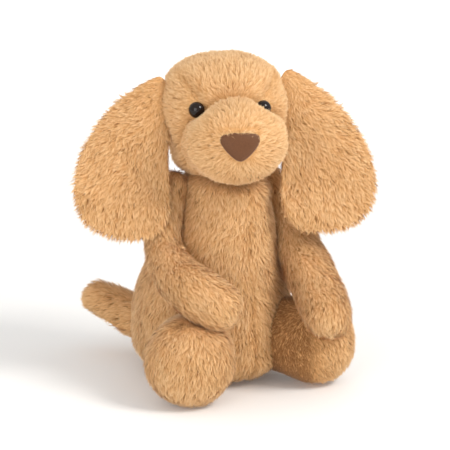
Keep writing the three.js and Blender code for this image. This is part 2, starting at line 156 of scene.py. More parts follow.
def catmull_span(before, a, b, after, w):
    """The curve from a to b, at each share w of the way."""
    va, vb = (b - before) / 2, (after - a) / 2
    return (2 * a - 2 * b + va + vb) * w**3 + (3 * b - 3 * a - 2 * va - vb) * w**2 + va * w + a


def catmull(points, t):
    """Points on the uniform Catmull-Rom curve through the given points, at each t from 0 to 1."""
    p = np.asarray(points, float)
    last = len(p) - 1
    x = np.clip(t, 0, 1) * last
    i = np.minimum(x.astype(int), last - 1)
    return catmull_span(p[np.maximum(i - 1, 0)], p[i], p[i + 1], p[np.minimum(i + 2, last)], (x - i)[:, None])


def closed_catmull(points, count):
    """A number of points round the closed Catmull-Rom curve through the given points."""
    p = np.asarray(points, float)
    n = len(p)
    x = np.arange(count) / count * n
    i = x.astype(int)
    return catmull_span(p[(i - 1) % n], p[i % n], p[(i + 1) % n], p[(i + 2) % n], (x - i)[:, None])


class Waves:
    """Smooth noise about -1 to 1: a sum of plane waves of one wavelength, from a seed."""

    def __init__(self, seed, wavelength, count=9):
        rng = np.random.default_rng(seed)
        self.k = unit(rng.normal(size=(count, 3))) * (2 * np.pi / wavelength)
        self.k *= rng.uniform(0.7, 1.4, (count, 1))
        self.phase = rng.uniform(0, 2 * np.pi, count)
        self.count = count

    def __call__(self, p):
        return np.sin(p @ self.k.T + self.phase).sum(axis=1) * (1.5 / self.count)


def head_to_row(p):
    """Places in the head's own axes, which start at the neck and face -Y, as places in the row frame."""
    c, s = math.cos(HEAD_TURN), math.sin(HEAD_TURN)
    return np.asarray(p) @ np.array([[c, s, 0], [-s, c, 0], [0, 0, 1]]) + NECK


def head_turned(v):
    return head_to_row(v) - NECK


def row_to_head(p):
    """The reverse of head_to_row."""
    return (np.asarray(p) - NECK) @ head_turned(np.eye(3)).T


# ---------------------------------------------------------------- skins
class Skin:
    """A closed surface of quads and end fans, in millimetres, with a comb direction at each vertex."""

    def __init__(self, grid, tangents):
        rows, sides = grid.shape[:2]
        first, last = grid[0].mean(axis=0), grid[-1].mean(axis=0)
        inner = grid[1:-1]
        self.points = np.vstack([first[None], inner.reshape(-1, 3), last[None]])
        self.comb = np.vstack([tangents[0, :1], tangents[1:-1].reshape(-1, 3), tangents[-1, :1]])
        end = 1 + (rows - 2) * sides
        r, s = np.meshgrid(np.arange(rows - 3), np.arange(sides), indexing="ij")
        a = 1 + r * sides + s
        b = 1 + r * sides + (s + 1) % sides
        self.quads = np.stack([a, b, b + sides, a + sides], axis=-1).reshape(-1, 4)
        s = np.arange(sides)
        top = np.stack([np.zeros(sides, int), 1 + (s + 1) % sides, 1 + s], axis=1)
        low = 1 + (rows - 3) * sides
        bottom = np.stack([np.full(sides, end), low + s, low + (s + 1) % sides], axis=1)
        self.fans = np.vstack([top, bottom])
        self.orient()

    def triangles(self):
        q = self.quads
        return np.vstack([q[:, [0, 1, 2]], q[:, [0, 2, 3]], self.fans])

    def orient(self):
        t = self.points[self.triangles()]
        if np.einsum("ij,ij->i", t[:, 0], np.cross(t[:, 1], t[:, 2])).sum() < 0:
            self.quads = self.quads[:, ::-1]
            self.fans = self.fans[:, ::-1]

    def normals(self):
        t = self.triangles()
        p = self.points[t]
        n = np.cross(p[:, 1] - p[:, 0], p[:, 2] - p[:, 0])
        out = np.zeros_like(self.points)
        for k in range(3):
            np.add.at(out, t[:, k], n)
        return unit(out)

    def shrink(self, depth):
        """Draws the whole skin in by a depth."""
        self.points = self.points - self.normals() * depth
        return self

    def move(self, amount):
        """Moves each vertex along its normal by an amount."""
        self.points = self.points + self.normals() * np.asarray(amount)[:, None]
        return self

    def to_row(self):
        self.points = head_to_row(self.points)
        self.comb = head_turned(self.comb)
        return self

    def mirror(self):
        self.points = self.points * [-1, 1, 1]
        self.comb = self.comb * [-1, 1, 1]
        self.orient()
        return self

    def tree(self):
        return BVHTree.FromPolygons([tuple(p) for p in self.points], [tuple(t) for t in self.triangles()])

    def object(self, name, material):
        faces = [tuple(int(i) for i in f) for f in self.quads] + [tuple(int(i) for i in f) for f in self.fans]
        mesh = bpy.data.meshes.new(name)
        mesh.from_pydata([tuple(p) for p in self.points * MM], [], faces)
        mesh.validate()
        mesh.shade_smooth()
        mesh.materials.append(material)
        made = bpy.data.objects.new(name, mesh)
        bpy.context.scene.collection.objects.link(made)
        return made


def tube(stations, bulges, across, around=72, along=44, cap=14):
    """A stuffed form through its stations, with rounded ends that stand out by the bulges."""
    st = np.asarray(stations, float)
    rise = np.linspace(-math.pi / 2, 0, cap, endpoint=False)
    t = np.concatenate([np.zeros(cap), np.linspace(0, 1, along), np.ones(cap)])
    angle = np.concatenate([rise, np.zeros(along), -rise[::-1]])
    middle, size = catmull(st[:, :3], t), catmull(st[:, 3:], t)
    step = 1e-3
    low, high = np.clip(t - step, 0, 1), np.clip(t + step, 0, 1)
    tangent = unit(catmull(st[:, :3], high) - catmull(st[:, :3], low))
    depthways = unit(np.cross(tangent, np.asarray(across, float)))
    widthways = np.cross(depthways, tangent)
    reach = np.cos(angle)[:, None]
    out = np.where(angle < 0, bulges[0], bulges[1]) * np.sin(angle)
    middle = middle + tangent * out[:, None]
    turn = np.arange(around) / around * 2 * np.pi
    grid = (
        middle[:, None]
        + (widthways * size[:, :1] * reach)[:, None] * np.cos(turn)[None, :, None]
        + (depthways * size[:, 1:] * reach)[:, None] * np.sin(turn)[None, :, None]
    )
    tangents = np.repeat(tangent[:, None], around, axis=1)
    return Skin(grid, tangents)


def line_distance(points, line):
    """Each point's distance to a chain of straight segments."""
    line = np.asarray(line, float)
    best = np.full(len(points), 1e9)
    for a, b in zip(line[:-1], line[1:]):
        ab = b - a
        t = np.clip((points - a) @ ab / (ab @ ab), 0, 1)
        best = np.minimum(best, np.linalg.norm(points - a - t[:, None] * ab, axis=1))
    return best


def signed_distance(tree, p):
    """The nearest place on a skin, its normal there, and how far p is outside it, negative inside."""
    place, normal, _, distance = tree.find_nearest(p, FAR)
    if place is None:
        return None, None, FAR
    return place, normal, distance if (Vector(p) - place).dot(normal) > 0 else -distance


def clearance(points, trees):
    """Each point's distance outside the nearest of the other skins, negative inside one."""
    out = np.full(len(points), FAR)
    for tree in trees:
        for i, p in enumerate(points):
            out[i] = min(out[i], signed_distance(tree, p)[2])
    return out


def press_out(skin, tree, gap):
    """Dents a skin wherever it comes closer to another skin than the gap."""
    moved = skin.points.copy()
    for i, p in enumerate(skin.points):
        place, normal, outside = signed_distance(tree, p)
        if outside < gap:
            moved[i] = np.array(place + normal * gap)
    skin.points = moved


def relax(skin, rounds, share):
    """Evens a skin by moving each vertex towards its neighbours."""
    t = skin.triangles()
    for _ in range(rounds):
        total = np.zeros_like(skin.points)
        count = np.zeros(len(skin.points))
        for a, b in ((0, 1), (1, 2), (2, 0)):
            np.add.at(total, t[:, a], skin.points[t[:, b]])
            np.add.at(total, t[:, b], skin.points[t[:, a]])
            np.add.at(count, t[:, a], 1)
            np.add.at(count, t[:, b], 1)
        target = total / count[:, None]
        skin.points = skin.points + (target - skin.points) * share


# ---------------------------------------------------------------- materials
def linear(color):
    """A display colour as the linear values that a shader takes, with full opacity."""
    return tuple((c / 12.92 if c <= 0.04045 else ((c + 0.055) / 1.055) ** 2.4) for c in color) + (1.0,)


def new_material(name, roughness, sheen=0.0, tint=(1, 1, 1)):
    """A plain material, with its nodes, links and shader."""
    material = bpy.data.materials.new(name)
    material.use_nodes = True
    shader = material.node_tree.nodes["Principled BSDF"]
    shader.inputs["Roughness"].default_value = roughness
    shader.inputs["Specular IOR Level"].default_value = 0.2
    shader.inputs["Sheen Weight"].default_value = sheen
    shader.inputs["Sheen Roughness"].default_value = 0.5
    shader.inputs["Sheen Tint"].default_value = (*tint, 1)
    return material, material.node_tree.nodes, material.node_tree.links, shader


def ramp(nodes, stops):
    """A colour ramp from (place, display colour) stops."""
    node = nodes.new("ShaderNodeValToRGB")
    elements = node.color_ramp.elements
    while len(elements) < len(stops):
        elements.new(0.5)
    for element, (place, color) in zip(elements, stops):
        element.position = place
        element.color = linear(color)
    return node


SHADED = 0.25  # tones below this share run down to the painted shade of a crease or of a place where pieces meet
WARM = (1.0, 0.86, 0.68)  # the tint of the fibres' sheen
# The colours of painted shade, for the pile in creases and where it meets another skin.
PAINTED_SHADE_RAMP = [(0.0, (0.42, 0.25, 0.12)), (1.0, (0.66, 0.45, 0.25))]
DARK_RAMP = [(0.0, (0.78, 0.56, 0.34)), (0.45, (0.86, 0.66, 0.43)), (1.0, (0.91, 0.73, 0.51))]
LIGHT_RAMP = [(0.0, (0.84, 0.63, 0.41)), (0.45, (0.93, 0.76, 0.55)), (1.0, (0.98, 0.85, 0.67))]
BACKING_RAMP = [(0.3, (0.77, 0.57, 0.36)), (0.7, (0.86, 0.66, 0.44))]
SUEDE_RAMP = [(0.3, (0.35, 0.21, 0.12)), (0.7, (0.40, 0.25, 0.145))]


def pile_material():
    """Fibre colour from the strand's own map: across is its tone, whose lowest shares are painted shade, and
    along runs from root to tip.
    """
    material, nodes, links, shader = new_material("pile", 0.85, 0.25, WARM)
    uv = nodes.new("ShaderNodeUVMap")
    uv.uv_map = "OFBake"
    split = nodes.new("ShaderNodeSeparateXYZ")
    links.new(uv.outputs["UV"], split.inputs["Vector"])
    dark = ramp(nodes, DARK_RAMP)
    light = ramp(nodes, LIGHT_RAMP)
    painted_shade_ramp = ramp(nodes, PAINTED_SHADE_RAMP)
    color = painted_shade_ramp.outputs["Color"]
    for ramp_node, low, high in ((dark, 0.0, SHADED), (light, SHADED, 1.0)):
        share = nodes.new("ShaderNodeMapRange")
        share.inputs["From Min"].default_value = low
        share.inputs["From Max"].default_value = high
        links.new(split.outputs["X"], share.inputs["Value"])
        mix = nodes.new("ShaderNodeMix")
        mix.data_type = "RGBA"
        links.new(share.outputs["Result"], mix.inputs["Factor"])
        links.new(color, mix.inputs["A"])
        links.new(ramp_node.outputs["Color"], mix.inputs["B"])
        color = mix.outputs["Result"]
    for ramp_node in (painted_shade_ramp, dark, light):
        links.new(split.outputs["Y"], ramp_node.inputs["Fac"])
    links.new(color, shader.inputs["Base Color"])
    return material


def mottle(nodes, links, shader, scale, detail, stops):
    """Colours a shader by fine noise through a ramp, and returns the noise."""
    noise = nodes.new("ShaderNodeTexNoise")
    noise.inputs["Scale"].default_value = scale
    noise.inputs["Detail"].default_value = detail
    place = nodes.new("ShaderNodeTexCoord")
    links.new(place.outputs["Object"], noise.inputs["Vector"])
    tone = ramp(nodes, stops)
    links.new(noise.outputs["Fac"], tone.inputs["Fac"])
    links.new(tone.outputs["Color"], shader.inputs["Base Color"])
    return noise


def backing_material():
    """The knitted backing cloth, seen only between the tufts."""
    material, nodes, links, shader = new_material("backing", 0.95, 0.1, WARM)
    mottle(nodes, links, shader, 420, 3, BACKING_RAMP)
    return material


# ---------------------------------------------------------------- pile
def sample(skin, count, rng):
    """Points spread evenly over a skin: place, normal and comb direction of each."""
    t = skin.triangles()
    p, n, c = skin.points[t], skin.normals()[t], skin.comb[t]
    area = np.linalg.norm(np.cross(p[:, 1] - p[:, 0], p[:, 2] - p[:, 0]), axis=1)
    pick = rng.choice(len(t), count, p=area / area.sum())
    r, s = np.sqrt(rng.random(count)), rng.random(count)
    w = np.stack([1 - r, r * (1 - s), r * s], axis=1)[:, :, None]
    return (p[pick] * w).sum(axis=1), unit((n[pick] * w).sum(axis=1)), unit((c[pick] * w).sum(axis=1))


def skin_area(skin):
    p = skin.points[skin.triangles()]
    return np.linalg.norm(np.cross(p[:, 1] - p[:, 0], p[:, 2] - p[:, 0]), axis=1).sum() / 2


def spaced(points, distance):
    """Which of the points to keep so that no two are closer than the distance."""
    steps = [(dx, dy, dz) for dx in (-1, 0, 1) for dy in (-1, 0, 1) for dz in (-1, 0, 1)]
    cells, kept = {}, []
    keys = np.floor(points / distance).astype(int).tolist()
    for i, ((x, y, z), p) in enumerate(zip(keys, points.tolist())):
        near = (q for dx, dy, dz in steps for q in cells.get((x + dx, y + dy, z + dz), ()))
        if all(math.dist(p, q) >= distance for q in near):
            cells.setdefault((x, y, z), []).append(p)
            kept.append(i)
    return np.array(kept)


STRAND_VERTICES = 5  # two at the root, two halfway and one at the tip


def strand_object(name, points, facets, tone):
    """Flat tapered strands of one quad and one end triangle each, as one object."""
    n = len(points)
    corners = np.array([0, 1, 3, 2, 2, 3, 4])  # the quad's four vertices, and then the triangle's three
    loops = (np.arange(n) * STRAND_VERTICES)[:, None] + corners
    starts = (np.arange(n) * len(corners))[:, None] + np.array([0, 4])
    v = np.array([0, 0, 0.5, 0.5, 0.5, 0.5, 1]) * 0.96 + 0.02
    u = np.array([0, 1, 1, 0, 0, 1, 0.5]) * 0.01
    uv = np.stack([tone[:, None] + u[None], np.repeat(v[None], n, axis=0)], axis=-1)
    mesh = bpy.data.meshes.new(name)
    mesh.vertices.add(n * STRAND_VERTICES)
    mesh.vertices.foreach_set("co", (points * MM).astype(np.float32).ravel())
    mesh.loops.add(n * len(corners))
    mesh.loops.foreach_set("vertex_index", loops.astype(np.int32).ravel())
    mesh.polygons.add(n * 2)
    mesh.polygons.foreach_set("loop_start", starts.astype(np.int32).ravel())
    mesh.update(calc_edges=True)
    layer = mesh.uv_layers.new(name="OFBake")
    layer.data.foreach_set("uv", uv.astype(np.float32).ravel())
    mesh.shade_smooth()
    mesh.normals_split_custom_set_from_vertices(facets.reshape(-1, 3).tolist())
    mesh.materials.append(PILE)
    made = bpy.data.objects.new(name, mesh)
    bpy.context.scene.collection.objects.link(made)
    return made


SOFTNESS = 0.93  # how far a strand is shaded as the surface that it grows from
FLOW = Waves(5, 26)
SWIRL = Waves(6, 11)
TONE = Waves(7, 30)
RUFFLE = Waves(8, 15)
ALONG = np.array([0.0, 0.5, 1.0])  # where a strand's cross-sections lie
TAPER = np.array([1.0, 0.85])  # its width at the root and halfway
MOST_STRANDS = 60000  # in one piece
FLOOR_CLEARANCE = 0.15
BURIED = 1.5  # no pile grows where a skin lies deeper than this inside another
TRIED = 4  # places tried for each tuft
CLOSEST = 0.8  # how close two tufts may come, as a share of the spacing
LIFT = (30, 6)  # a strand's angle off the skin at its root and its tip, in degrees

# How tufts differ: angles in radians for bend and curl, and in degrees for lift.
FLOW_BEND, SWIRL_BEND, TUFT_BEND = 0.4, 0.28, 0.12
TUFT_LENGTHS = (0.9, 1.08)
RUFFLE_LIFT, TUFT_LIFT = 7, 4
TUFT_TONE = 0.16
DARK_TUFTS, DARKER = 0.12, 0.2
# Painted shade in the pile near another skin: how dark it is, and how far it reaches in millimetres.
SEAM_SHADOW, SEAM_REACH = 0.55, 3.5
CREASE_SHORTER = 0.45
TUFT_CURL = 0.5

# How the strands of one tuft differ.
STRAND_LENGTHS = (0.8, 1.08)
ROOT_LIFT, TIP_LIFT = 7, 6
STRAND_TONE = 0.15
STRAND_WIDTHS = (0.75, 1.25)
STRAND_ROLL = 0.3
LOOSE, LOOSE_LENGTH, LOOSE_LIFT, LOOSE_GATHER = 0.12, 1.08, 12, 0.2
GATHERING = 1.2  # how late along its length a strand turns to its tuft's tip


def grow(name, skin, body, comb, length, seed, others=(), spacing=1.35, strands=5, width=0.29,
         keep=None, gather=0.24, crease=None, shade=0.56):
    """Tufted pile over a skin: tapered strands that lean along the comb and gather at each tuft's tip."""
    rng = np.random.default_rng(seed)
    candidates = int(skin_area(skin) / spacing**2 * TRIED)
    places, normals, along = sample(skin, candidates, rng)
    kept = spaced(places, spacing * CLOSEST)
    places, normals, along = places[kept], normals[kept], along[kept]
    room = clearance(places, others)
    bare = room < -BURIED
    if keep is not None:
        bare |= ~keep(places, normals)
    tufts = KDTree(len(places))
    for i, p in enumerate(places):
        tufts.insert(p, i)
    tufts.balance()
    n_tufts = len(places)
    way = comb(places, normals, along)
    way = unit(way - (way * normals).sum(axis=1)[:, None] * normals)
    side = np.cross(normals, way)
    bend = FLOW_BEND * FLOW(places) + SWIRL_BEND * SWIRL(places) + rng.normal(0, TUFT_BEND, n_tufts)
    way = way * np.cos(bend)[:, None] + side * np.sin(bend)[:, None]
    side = np.cross(normals, way)
    tuft_length = length(places) * rng.uniform(*TUFT_LENGTHS, n_tufts)
    tuft_lift = RUFFLE_LIFT * RUFFLE(places) + rng.normal(0, TUFT_LIFT, n_tufts)
    tuft_tone = shade + TUFT_TONE * TONE(places) + rng.normal(0, TUFT_TONE, n_tufts)
    tuft_tone -= np.where(rng.random(n_tufts) < DARK_TUFTS, DARKER, 0)
    # Painted shade: the tone darkens close to other skins and wherever the crease function asks, and the pile
    # there grows shorter.
    shadow = SEAM_SHADOW * fade(np.maximum(room, 0), SEAM_REACH)
    if crease is not None:
        shadow = np.maximum(shadow, crease(places, normals))
    tuft_length = tuft_length * (1 - CREASE_SHORTER * shadow)
    tuft_curl = rng.normal(0, TUFT_CURL, n_tufts)

    roots, root_normals, _ = sample(skin, n_tufts * strands, rng)
    owner = np.array([tufts.find(p)[1] for p in roots])
    good = ~bare[owner]
    roots, root_normals, owner = roots[good], root_normals[good], owner[good]
    n = len(roots)
    loose = rng.random(n) < LOOSE
    reach = tuft_length[owner] * rng.uniform(*STRAND_LENGTHS, n) * np.where(loose, LOOSE_LENGTH, 1.0)
    start = np.radians(LIFT[0] + tuft_lift[owner] + rng.normal(0, ROOT_LIFT, n))
    loose_lift = np.where(loose, LOOSE_LIFT, 0)
    finish = np.radians(LIFT[1] + tuft_lift[owner] + rng.normal(0, TIP_LIFT, n) + loose_lift)
    t_way, t_side = way[owner], side[owner]

    def path(base, normal, begin, end, long):
        """The strands' middle lines, which rise from the skin at one angle and end at another."""
        points, at = [base], base
        for k in range(1, len(ALONG)):
            middle = (ALONG[k] + ALONG[k - 1]) / 2
            up = begin + (end - begin) * middle
            curl = tuft_curl[owner] * middle
            forward = t_way * np.cos(curl)[:, None] + t_side * np.sin(curl)[:, None]
            direction = forward * np.cos(up)[:, None] + normal * np.sin(up)[:, None]
            at = at + direction * (long * (ALONG[k] - ALONG[k - 1]))[:, None]
            points.append(at)
        return np.stack(points, axis=1)

    own = path(roots, root_normals, start, finish, reach)
    mean_start = np.radians(LIFT[0] + tuft_lift)[owner]
    mean_finish = np.radians(LIFT[1] + tuft_lift)[owner]
    centre = path(places[owner], normals[owner], mean_start, mean_finish, reach)
    pull = np.where(loose, LOOSE_GATHER, gather)[:, None, None] * (ALONG**GATHERING)[None, :, None]
    line = own + (centre - own) * pull
    ahead = unit(np.gradient(line, axis=1))
    across = unit(np.cross(ahead, root_normals[:, None]))
    facing = np.cross(across, ahead)
    roll = rng.normal(0, STRAND_ROLL, n)[:, None, None]
    across = across * np.cos(roll) + facing * np.sin(roll)
    half = width / 2 * rng.uniform(*STRAND_WIDTHS, n)
    shift = across[:, :2] * (half[:, None] * TAPER)[:, :, None]
    points = np.empty((n, STRAND_VERTICES, 3))
    points[:, 0:4:2] = line[:, :2] - shift
    points[:, 1:4:2] = line[:, :2] + shift
    points[:, 4] = line[:, 2]
    points[:, :, 2] = np.maximum(points[:, :, 2], FLOOR_CLEARANCE)
    own_normal = np.cross(across, ahead)
    own_normal *= np.sign((own_normal * root_normals[:, None]).sum(axis=2, keepdims=True))
    facets = unit(own_normal * (1 - SOFTNESS) + root_normals[:, None] * SOFTNESS)
    facets = np.concatenate([np.repeat(facets[:, :2], 2, axis=1), facets[:, 2:]], axis=1)
    tone = np.clip((tuft_tone[owner] + rng.normal(0, STRAND_TONE, n)) * (1 - shadow[owner]), 0.01, 0.98)

    around = np.argsort(np.arctan2(*(roots - roots.mean(axis=0)).T[:2]), kind="stable")
    chunks = np.array_split(around, math.ceil(n / MOST_STRANDS))
    for number, chunk in enumerate(chunks):
        label = name if len(chunks) == 1 else f"{name}_{number + 1}"
        made = strand_object(label, points[chunk], facets[chunk], tone[chunk])
        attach(made, body)


def stuffed(name, skin, body, nodes):
    """A finished skin, put in place of its CAD nodes, which are hidden."""
    made = skin.object(name, BACKING)
    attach(made, body)
    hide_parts(*nodes)


PILE = pile_material()
BACKING = backing_material()
LUMPS = Waves(11, 34)
ACROSS_X, ACROSS_Z = (1, 0, 0), (0, 0, 1)


# ---------------------------------------------------------------- the skins' shapes
def beside_seam(p):
    """How far each point lies to the left of the belly seam."""
    return p[:, 0] - np.interp(p[:, 2], SEAM_HEIGHTS, SEAM_X)


def torso_skin():
    """The body, drawn in along its belly seam and swollen beside the left arm and thigh."""
    skin = tube(TORSO, (27, 14), ACROSS_X, around=96, along=52, cap=16).shrink(PILE_DEPTH)
    skin.points[:, 2] = np.maximum(skin.points[:, 2], SEAT_HEIGHT)
    in_front = smooth((-skin.points[:, 1] - 4) / 14)
    drawn_in = 0.6 * fade(beside_seam(skin.points), 3.0) * in_front
    skin.move(0.8 * LUMPS(skin.points) - drawn_in)
    spread = np.linalg.norm((skin.points - BELLY_SIDE) / [16, 20, 24], axis=1)
    return skin.move(BELLY_SPREAD * fade(spread, 1))


def stuff(skin):
    """Draws a limb in by the pile's depth and gives it the unevenness of its stuffing."""
    skin.shrink(PILE_DEPTH)
    return skin.move(0.7 * LUMPS(skin.points))


def arm_skin(side):
    """An arm with its shoulder pulled up to the neck, and the left one with its creases."""
    skin = tube(ARMS[side], (14, 18), ACROSS_X)
    skin.points[:, 2] += SHOULDER_RAISE * smooth((skin.points[:, 2] - 118) / 18)
    stuff(skin)
    for crease in ARM_CREASES if side == "left" else []:
        skin.move(-CREASE_DEPTH * fade(line_distance(skin.points, crease), ARM_CREASE_WIDTH))
    return skin


def leg_skin(side, arm):
    """A leg, which sits on the floor and is dented by the arm that lies on it."""
    skin = tube(LEGS[side], (25, 28), ACROSS_Z)
    if side == "left":
        crowded = np.linalg.norm((skin.points - THIGH_TOP) / [16, 20, 16], axis=1)
        skin.points[:, 2] += THIGH_PUSH * fade(crowded, 1)
    stuff(skin)
    if side == "right":
        skin.move(-CREASE_DEPTH * fade(line_distance(skin.points, TUCK_LINE), TUCK_WIDTH))
    press_out(skin, arm.tree(), PAW_GAP)
    relax(skin, 3, 0.4)
    skin.points[:, 2] = np.maximum(skin.points[:, 2], LEG_HEIGHT)
    return skin


def tuck_distance(local):
    """The distance to the nearer brow tuck, seen from the front of the head, in the head's own axes."""
    from_front = local * [1, 0, 1]
    near = [line_distance(from_front, np.array(BROW_TUCK) * [sign, 0, 1]) for sign in SIGNS.values()]
    return np.minimum(*near) + np.maximum(local[:, 1], 0)


def head_skins():
    """The skull and the muzzle in the head's own axes, with brow tucks, eye sockets and the sewn crease."""
    skull = tube(SKULL, (24, 22), ACROSS_X, around=96, along=30, cap=20).shrink(PILE_DEPTH)
    # The skull is a little flatter from front to back towards its top.
    skull.points[:, 1] -= 0.08 * (skull.points[:, 1] - 6) * smooth((skull.points[:, 2] - 58) / 24)
    muzzle = tube(MUZZLE, (20, 24), ACROSS_X, around=96, along=24, cap=20).shrink(MUZZLE_DEPTH)
    # The muzzle rises to a narrower bridge.
    high = np.maximum(muzzle.points[:, 2] - 32, 0)
    muzzle.points[:, 2] += 0.06 * high
    muzzle.points[:, 0] -= 0.12 * (muzzle.points[:, 0] - 1.5) * smooth((high - 12) / 14)
    skull.move(-2.4 * fade(tuck_distance(skull.points), 3.2))
    for side, sign in SIGNS.items():
        brow = [(sign * 14, -38, 70), (sign * 24, -33, 72)]
        skull.move(1.8 * fade(line_distance(skull.points, brow), 8.0))
        for skin, pull in ((skull, 0.9), (muzzle, 3.0)):
            near = np.linalg.norm(skin.points - EYE_PLACE[side], axis=1)
            skin.move(-pull * fade(near, 7.5))
    skull.move(0.7 * LUMPS(skull.points))
    muzzle.move(0.5 * LUMPS(muzzle.points))
    # Both are drawn in where they are sewn together, and the muzzle swells beside the seam.
    from_muzzle = clearance(skull.points, [muzzle.tree()])
    from_skull = clearance(muzzle.points, [skull.tree()])
    skull.move(-2.4 * fade(from_muzzle, 3.5))
    muzzle.move(0.8 * fade(from_skull - 7, 4) - 1.6 * fade(from_skull, 2.5))
    return skull, muzzle


def swung(v, angle):
    """Turned about the head's front-to-back axis."""
    c, s = math.cos(-angle), math.sin(-angle)
    return np.stack([v[..., 0] * c + v[..., 2] * s, v[..., 1], -v[..., 0] * s + v[..., 2] * c], axis=-1)


def slanted(v, angle):
    """Turned about the head's side-to-side axis."""
    c, s = math.cos(-angle), math.sin(-angle)
    return np.stack([v[..., 0], v[..., 1] * c - v[..., 2] * s, v[..., 1] * s + v[..., 2] * c], axis=-1)


def ear_skin(side):
    """Both panels of an ear, sewn round their rim, draped from the head's side."""
    from_middle = closed_catmull(EAR_OUTLINE, 96) - EAR_MIDDLE
    rim = from_middle * (1 - EAR_INSET / np.linalg.norm(from_middle, axis=1))[:, None]
    angle = np.linspace(0, math.pi, EAR_ROWS)
    reach = np.sin(angle) ** 0.8
    flat = EAR_MIDDLE + rim[None] * reach[:, None, None]
    x, z = flat[..., 0], flat[..., 1]
    y = -1.2 * EAR_HALF_THICKNESS * np.cos(angle)[:, None] - EAR_CUP * (x - EAR_MIDDLE[0]) ** 2
    near_fold = line_distance(np.stack([x, 0 * x, z], axis=-1).reshape(-1, 3), EAR_FOLD).reshape(x.shape)
    y = y + 3.5 * fade(near_fold, 9)
    y = y + 1.6 * np.sin(z / 13 + x / 21) * smooth((x - 10) / 40)
    grid = np.stack([x, y, z], axis=-1)
    outwards = 0.5 * smooth((x - 8) / 24)
    tangents = np.zeros_like(grid)
    tangents[..., 0] = (x + 8) / 60 + outwards * (x - EAR_MIDDLE[0]) / 60
    tangents[..., 2] = (z - 14) / 60 + outwards * (z - EAR_MIDDLE[1]) / 60
    grid, tangents = (slanted(swung(v, EAR_SWING[side]), EAR_SLANT) for v in (grid, tangents))
    skin = Skin(grid + EAR_ROOT[side], tangents)
    if side == "right":
        skin.mirror()
    return skin.to_row()


torso = torso_skin()
arms = {side: arm_skin(side) for side in SIGNS}
legs = {side: leg_skin(side, arms[side]) for side in SIGNS}
tail = stuff(tube(TAIL, (16.5, 12.5), ACROSS_Z, around=56, along=30))
skull, muzzle = head_skins()
nose_ground = muzzle.tree()  # in the head's own axes, as the nose is drawn
skull.to_row()
muzzle.to_row()
ears = {side: ear_skin(side) for side in SIGNS}

# ---------------------------------------------------------------- the pieces
stuffed("torso_skin", torso, "torso", ["torso_cover"])
stuffed("head_skin", skull, "head", ["head_cover"])
stuffed("muzzle_skin", muzzle, "head", ["muzzle_cover"])
stuffed("tail_skin", tail, "tail", ["tail_cover"])
for side in SIGNS:
    stuffed("arm_skin_" + side, arms[side], "arm_" + side, ["arm_cover_" + side])
    stuffed("leg_skin_" + side, legs[side], "leg_" + side, ["leg_cover_" + side])
    stuffed("ear_skin_" + side, ears[side], "ear_" + side, ["ear_front_" + side, "ear_back_" + side])


# ---------------------------------------------------------------- how the pile lies, and how long it is
trees = {
    "torso": torso.tree(),
    "skull": skull.tree(),
    "muzzle": muzzle.tree(),
    "tail": tail.tree(),
    **{"arm_" + side: arms[side].tree() for side in SIGNS},
    **{"leg_" + side: legs[side].tree() for side in SIGNS},
}
nose_centre = head_to_row(np.array([0.0, -66.0, NOSE_HEIGHT]))
face_centre = head_to_row(np.array([0.0, -58.0, 46.0]))
eye_places = [head_to_row(EYE_PLACE[side]) for side in SIGNS]
head_right_to_left = head_turned(np.array([1.0, 0.0, 0.0]))
head_front_to_back = head_turned(np.array([0.0, 1.0, 0.0]))
PARTINGS = {"right": np.array([-58.0, -62.0, 62.0]), "left": np.array([38.0, -66.0, 52.0])}  # under each paw


def others(*names):
    return [trees[name] for name in names]


def steady(value):
    return lambda p: np.full(len(p), float(value))


def near_eyes(p):
    return np.minimum(*[np.linalg.norm(p - e, axis=1) for e in eye_places])


def near_nose(p):
    return np.linalg.norm(p - nose_centre, axis=1)


def down_torso(p, n, along):
    """Downwards, and away from the belly seam in front."""
    way = np.tile([0.0, 0.0, -1.0], (len(p), 1))
    way[:, 0] += 0.3 * np.tanh(beside_seam(p) / 9) * smooth(-p[:, 1] / 20)
    return way


def along_limb(p, n, along):
    return along + np.array([0, 0, -0.6])


def from_parting(side):
    """Away from the place where the paw lies on the leg."""
    return lambda p, n, along: unit(p - PARTINGS[side]) + 0.4 * along + np.array([0, 0, -0.35])


def from_nose(p, n, along):
    """Radial, except that the pile just above the nose folds down over its edge."""
    out = p - nose_centre
    above = (out[:, 2] > 6.5) & (out[:, 2] < 11.5) & (np.abs(out @ head_right_to_left) < 12)
    return np.where(above[:, None], -out, out)


def over_head(p, n, along):
    """Away from the middle of the face, and downwards at the back."""
    back = smooth((p @ head_front_to_back) / 30)[:, None]
    return unit(p - face_centre) * (1 - 0.6 * back) + np.array([0, 0, -1.0]) * back


def ear_comb(p, n, along):
    return along


def head_length(p):
    return 3.2 + 2.6 * smooth((near_eyes(p) - 7) / 16)


def muzzle_length(p):
    by_nose = 4.4 + 1.4 * smooth((near_nose(p) - 14) / 22)
    return np.minimum(by_nose, 3.0 + 2.6 * smooth((near_eyes(p) - 6) / 14))


def ear_length(side):
    """Short at the seam where the ear hangs, and full a little below it."""
    root = head_to_row(EAR_ROOT[side] * [SIGNS[side], 1, 1])
    return lambda p: 3.0 + 2.6 * smooth((np.linalg.norm(p - root, axis=1) - 8) / 22)


def off_floor(p, n):
    return ~((p[:, 2] < 4.5) & (n[:, 2] < -0.8))


def clear_of_eyes(p, n):
    return near_eyes(p) > EYE_RADIUS + 0.6


def clear_of_face(p, n):
    return clear_of_eyes(p, n) & (near_nose(p) > 9)


# ---------------------------------------------------------------- where shade is painted into the pile's colour
FLECKS = Waves(13, 7)


